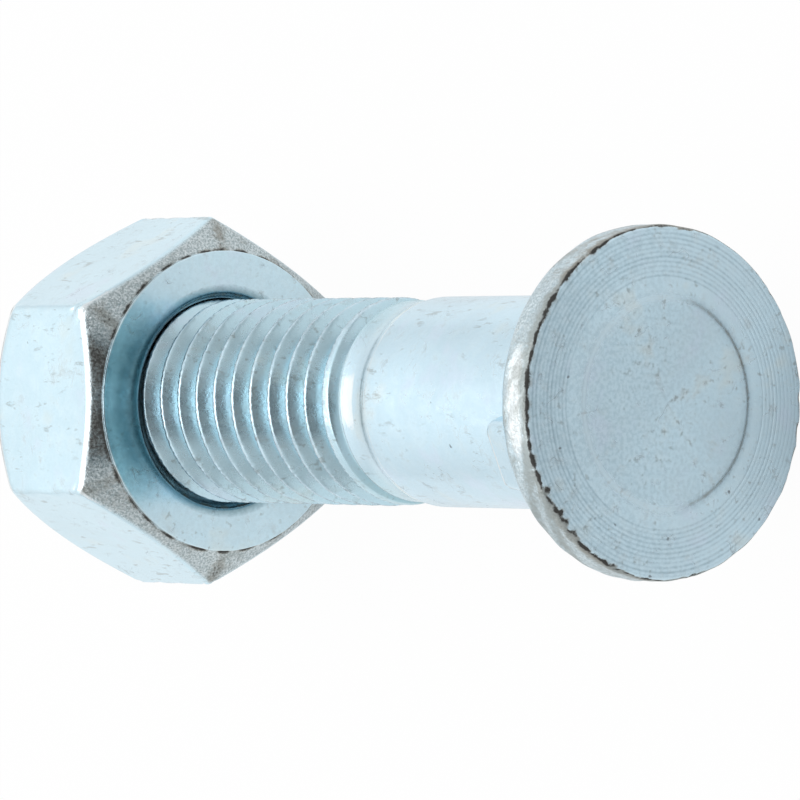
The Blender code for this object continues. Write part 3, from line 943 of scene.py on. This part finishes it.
def zinc(name, tint, deep_tint, roughness, spots=()):
    """Blue zinc plate: uneven tint, scuffs, smudges, pits, grime, stains, bright wear and coarse places,
    with painted shade and highlights.
    """
    material = bpy.data.materials.new(name)
    material.use_nodes = True
    tree = material.node_tree
    shader = tree.nodes["Principled BSDF"]
    place = add_node(tree, "ShaderNodeTexCoord").outputs["Object"]
    mark = {}
    for kind in MARKS:
        mark[kind] = add_node(tree, "ShaderNodeAttribute", attribute_name=kind).outputs["Fac"]

    cloud = noise(tree, place, 0.16, detail=2.0)
    hue = noise(tree, place, 0.28, detail=3.0)
    mottle = noise(tree, place, 1.1, detail=5.0, roughness=0.65)
    blotch = noise(tree, place, 2.4, detail=5.0, roughness=0.65, distortion=0.3)
    grain = noise(tree, place, 4.2, detail=3.0, roughness=0.6)
    speckle = noise(tree, place, 6.0, detail=3.0, roughness=0.7)
    fine_grain = noise(tree, place, 8.0, detail=2.0, roughness=0.6)
    handled = noise(tree, place, 0.45, detail=2.0)

    scuff = scuff_lines(tree, place, mottle, handled)
    streak = short_streaks(tree, place, hue)
    smudge = calculate(tree, "MULTIPLY", ramp(tree, mottle, 0.54, 0.68), ramp(tree, handled, 0.44, 0.58))
    pit = small_pits(tree, place)
    spot = dark_spots(tree, place, weigh(tree, (mottle, 1.6), (speckle, 1.4)), spots)
    # Dirt, and painted shade from the grime mark
    dirt_and_painted_shade_share = ramp(tree, weigh(tree, (speckle, 0.7), (mottle, 0.3), (mark["grime"], 1.0)), 0.84, 1.12)
    stain_and_painted_shade_share = weigh(tree, (blotch, 0.6), (speckle, 0.3), (mark["stain"], 1.0), (spot, 1.0))
    stain_and_painted_shade_share = ramp(tree, stain_and_painted_shade_share, 0.68, 1.12)
    # Worn zinc, and painted highlights from the wear mark
    wear_and_painted_highlight_share = ramp(tree, weigh(tree, (mottle, 0.6), (speckle, 0.3), (mark["wear"], 1.0)), 0.78, 1.08)
    crust = calculate(tree, "MULTIPLY", mark["coarse"], ramp(tree, grain, 0.3, 0.7))
    coarse_colour = mix_colour(tree, ramp(tree, fine_grain, 0.38, 0.62), COARSE_DARK, COARSE_PALE)
    stain_and_painted_shade_colour = mix_colour(tree, ramp(tree, cloud, 0.42, 0.58), GREY_STAIN_AND_PAINTED_SHADE, BROWN_STAIN_AND_PAINTED_SHADE)
    # A grain that darkens more where the shade is painted
    painted_shade_grain_share = ramp(tree, mark["shade"], 0.05, 0.3, 0.05, 0.32)

    plate = mix_colour(tree, ramp(tree, cloud, 0.3, 0.7), deep_tint, tint)
    plate = mix_colour(tree, ramp(tree, mottle, 0.35, 0.75, 0.0, 0.25), plate, PALE_ZINC)
    plate = mix_colour(tree, ramp(tree, hue, 0.28, 0.42, 0.35, 0.0), plate, VIOLET_ZINC)
    plate = mix_colour(tree, ramp(tree, hue, 0.58, 0.72, 0.0, 0.30), plate, YELLOW_ZINC)
    plate = cover(tree, plate, smudge, 0.32, SMUDGE)
    plate = cover(tree, plate, scuff, 0.4, SCUFF)
    plate = cover(tree, plate, streak, 0.5, STREAK)
    plate = cover(tree, plate, mark["coarse"], 0.8, coarse_colour)
    plate = mix_colour(tree, wear_and_painted_highlight_share, plate, WORN_AND_HIGHLIT_ZINC)
    # Painted shade and painted teal shade
    plate = mix_colour(tree, mark["shade"], plate, PAINTED_SHADE_AND_DIMMING, "MULTIPLY")
    plate = mix_colour(tree, mark["teal"], plate, PAINTED_TEAL_SHADE_TINT, "MULTIPLY")
    plate = cover(tree, plate, ramp(tree, grain, 0.4, 0.62), painted_shade_grain_share, PAINTED_SHADE_GRAIN, "MULTIPLY")
    plate = cover(tree, plate, stain_and_painted_shade_share, 0.75, stain_and_painted_shade_colour)
    plate = cover(tree, plate, pit, 0.7, PIT)
    tree.links.new(mix_colour(tree, dirt_and_painted_shade_share, plate, DIRT_AND_PAINTED_SHADE), shader.inputs["Base Color"])
    metal = calculate(tree, "MULTIPLY_ADD", mark["matt"], -1.0, 1.0)
    metal = calculate(tree, "MULTIPLY", metal, ramp(tree, dirt_and_painted_shade_share, 0.0, 1.0, 1.0, 0.1))
    tree.links.new(metal, shader.inputs["Metallic"])

    rough = ramp(tree, mottle, 0.3, 0.7, roughness - 0.04, roughness + 0.06)
    rough = weigh(tree, (rough, 1.0), (scuff, 0.15), (mark["coarse"], 0.08), (mark["matt"], 0.25))
    rough = weigh(tree, (rough, 1.0), (stain_and_painted_shade_share, 0.15))
    rough = calculate(tree, "MAXIMUM", rough, calculate(tree, "MULTIPLY", dirt_and_painted_shade_share, 0.65))
    tree.links.new(rough, shader.inputs["Roughness"])

    height = weigh(tree, (mottle, 0.10), (grain, 0.05), (crust, 1.6))
    height = weigh(tree, (height, 1.0), (stain_and_painted_shade_share, 0.1), (dirt_and_painted_shade_share, -0.3), (pit, -0.35))
    bump = add_node(tree, "ShaderNodeBump", {"Height": height, "Strength": 1.0, "Distance": 0.02 * MM})
    tree.links.new(bump.outputs["Normal"], shader.inputs["Normal"])
    return material


def make_floor():
    """A white floor that keeps a soft shadow. Mirrored in the zinc, it glows paler behind than in front, a
    painted falloff of light.
    """
    builder = bmesh.new()
    bmesh.ops.create_grid(builder, x_segments=8, y_segments=8, size=FLOOR_HALF_SIZE)
    mesh = bpy.data.meshes.new("floor")
    builder.to_mesh(mesh)
    builder.free()
    floor = bpy.data.objects.new("floor", mesh)
    floor.location.z = cad_bounds[0].z
    bpy.context.scene.collection.objects.link(floor)
    material = bpy.data.materials.new("white_floor")
    material.use_nodes = True
    tree = material.node_tree
    tree.nodes.remove(tree.nodes["Principled BSDF"])
    place = add_node(tree, "ShaderNodeTexCoord").outputs["Object"]
    along = add_node(tree, "ShaderNodeSeparateXYZ", {"Vector": place}).outputs["X"]
    # A painted falloff of light: mirrored rays see the floor glow paler behind than in front
    mirrored = (FLOOR_MIRRORED_BEHIND, FLOOR_MIRRORED_IN_FRONT)
    mirrored = ramp(tree, along, FLOOR_BEHIND, FLOOR_IN_FRONT, *mirrored)
    matt = add_node(tree, "ShaderNodeBsdfDiffuse", {"Color": (FLOOR_GREY, FLOOR_GREY, FLOOR_GREY, 1.0)})
    glow = add_node(tree, "ShaderNodeEmission", {"Color": (1.0, 1.0, 1.0, 1.0), "Strength": 1.0})
    path = add_node(tree, "ShaderNodeLightPath")
    seen = calculate(tree, "MULTIPLY", path.outputs["Is Camera Ray"], FLOOR_SEEN)
    reflected = calculate(tree, "MULTIPLY", path.outputs["Is Glossy Ray"], mirrored)
    through = calculate(tree, "MULTIPLY", path.outputs["Is Transmission Ray"], mirrored)
    share = calculate(tree, "MAXIMUM", seen, calculate(tree, "MAXIMUM", reflected, through))
    both = add_node(tree, "ShaderNodeMixShader", {0: share, 1: matt.outputs[0], 2: glow.outputs[0]})
    tree.links.new(both.outputs[0], tree.nodes["Material Output"].inputs["Surface"])
    mesh.materials.append(material)


def make_world():
    """A plain studio, paler above and behind the nut, and dark where the photographer stands."""
    world = bpy.data.worlds.new("studio")
    world.use_nodes = True
    bpy.context.scene.world = world
    tree = world.node_tree
    background = tree.nodes["Background"]
    direction = add_node(tree, "ShaderNodeTexCoord").outputs["Generated"]
    parts = add_node(tree, "ShaderNodeSeparateXYZ", {"Vector": direction})
    horizon = ramp(tree, parts.outputs["X"], *HORIZON_CHANGES, HORIZON_BEHIND, HORIZON_IN_FRONT)
    above = ramp(tree, parts.outputs["Z"], 0.0, 1.0)
    rise = calculate(tree, "MULTIPLY", above, calculate(tree, "SUBTRACT", ZENITH, horizon))
    level = calculate(tree, "ADD", horizon, rise)
    towards_camera = tuple((CAMERA_PLACE - CAMERA_AIM).normalized())
    facing = calculate_vector(tree, "DOT_PRODUCT", direction, towards_camera, "Value")
    dark = ramp(tree, facing, math.cos(PHOTOGRAPHER_OUTER), math.cos(PHOTOGRAPHER_INNER))
    studio = mix_colour(tree, dark, (1.0, 1.0, 1.0), PHOTOGRAPHER)
    strength = add_node(tree, "ShaderNodeMix", {0: dark, 2: level, 3: 1.0})
    seen = add_node(tree, "ShaderNodeLightPath").outputs["Is Camera Ray"]
    colour = mix_colour(tree, seen, studio, (1.0, 1.0, 1.0))
    plain = add_node(tree, "ShaderNodeMix", {0: seen, 2: strength.outputs[0], 3: 1.0})
    tree.links.new(colour, background.inputs["Color"])
    tree.links.new(plain.outputs[0], background.inputs["Strength"])


def make_lamp():
    """A soft box above, pointed at the bolt. Its radiance is how bright it looks in a mirror."""
    lamp = bpy.data.lights.new("overhead_softbox", "AREA")
    lamp.shape = "RECTANGLE"
    lamp.size = LAMP_WIDTH
    lamp.size_y = LAMP_LENGTH
    lamp.energy = LAMP_RADIANCE * math.pi * LAMP_WIDTH * LAMP_LENGTH
    item = bpy.data.objects.new("overhead_softbox", lamp)
    item.location = CAMERA_AIM + LAMP_TOWARDS * LAMP_DISTANCE
    item.rotation_euler = LAMP_TOWARDS.to_track_quat("Z", "Y").to_euler()
    bpy.context.scene.collection.objects.link(item)


def make_camera():
    """The photo's camera: a long lens that looks down along the bolt, turned a quarter turn on its side."""
    camera = bpy.data.cameras.new("camera")
    camera.lens = CAMERA_LENS
    camera.sensor_width = CAMERA_SENSOR
    camera.clip_start, camera.clip_end = CAMERA_CLIP
    item = bpy.data.objects.new("camera", camera)
    back = (CAMERA_PLACE - CAMERA_AIM).normalized()
    right = Vector((0.0, 1.0, 0.0)).cross(back).normalized()
    right.rotate(Matrix.Rotation(CAMERA_ROLL, 3, back))
    up = back.cross(right)
    axes = Matrix((right, up, back)).transposed()
    item.matrix_world = Matrix.Translation(CAMERA_PLACE) @ axes.to_4x4()
    bpy.context.scene.collection.objects.link(item)
    bpy.context.scene.camera = item


bpy.context.scene.view_settings.view_transform = "Standard"
make_camera()
make_world()
make_lamp()
make_floor()

bolt = make_bolt(zinc("zinc_bolt", *BOLT_ZINC, FACE_SPOTS))
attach(bolt, "bolt")
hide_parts("plow_bolt")

nut = make_nut(zinc("zinc_nut", *NUT_ZINC))
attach(nut, "nut")
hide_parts("hex_nut")
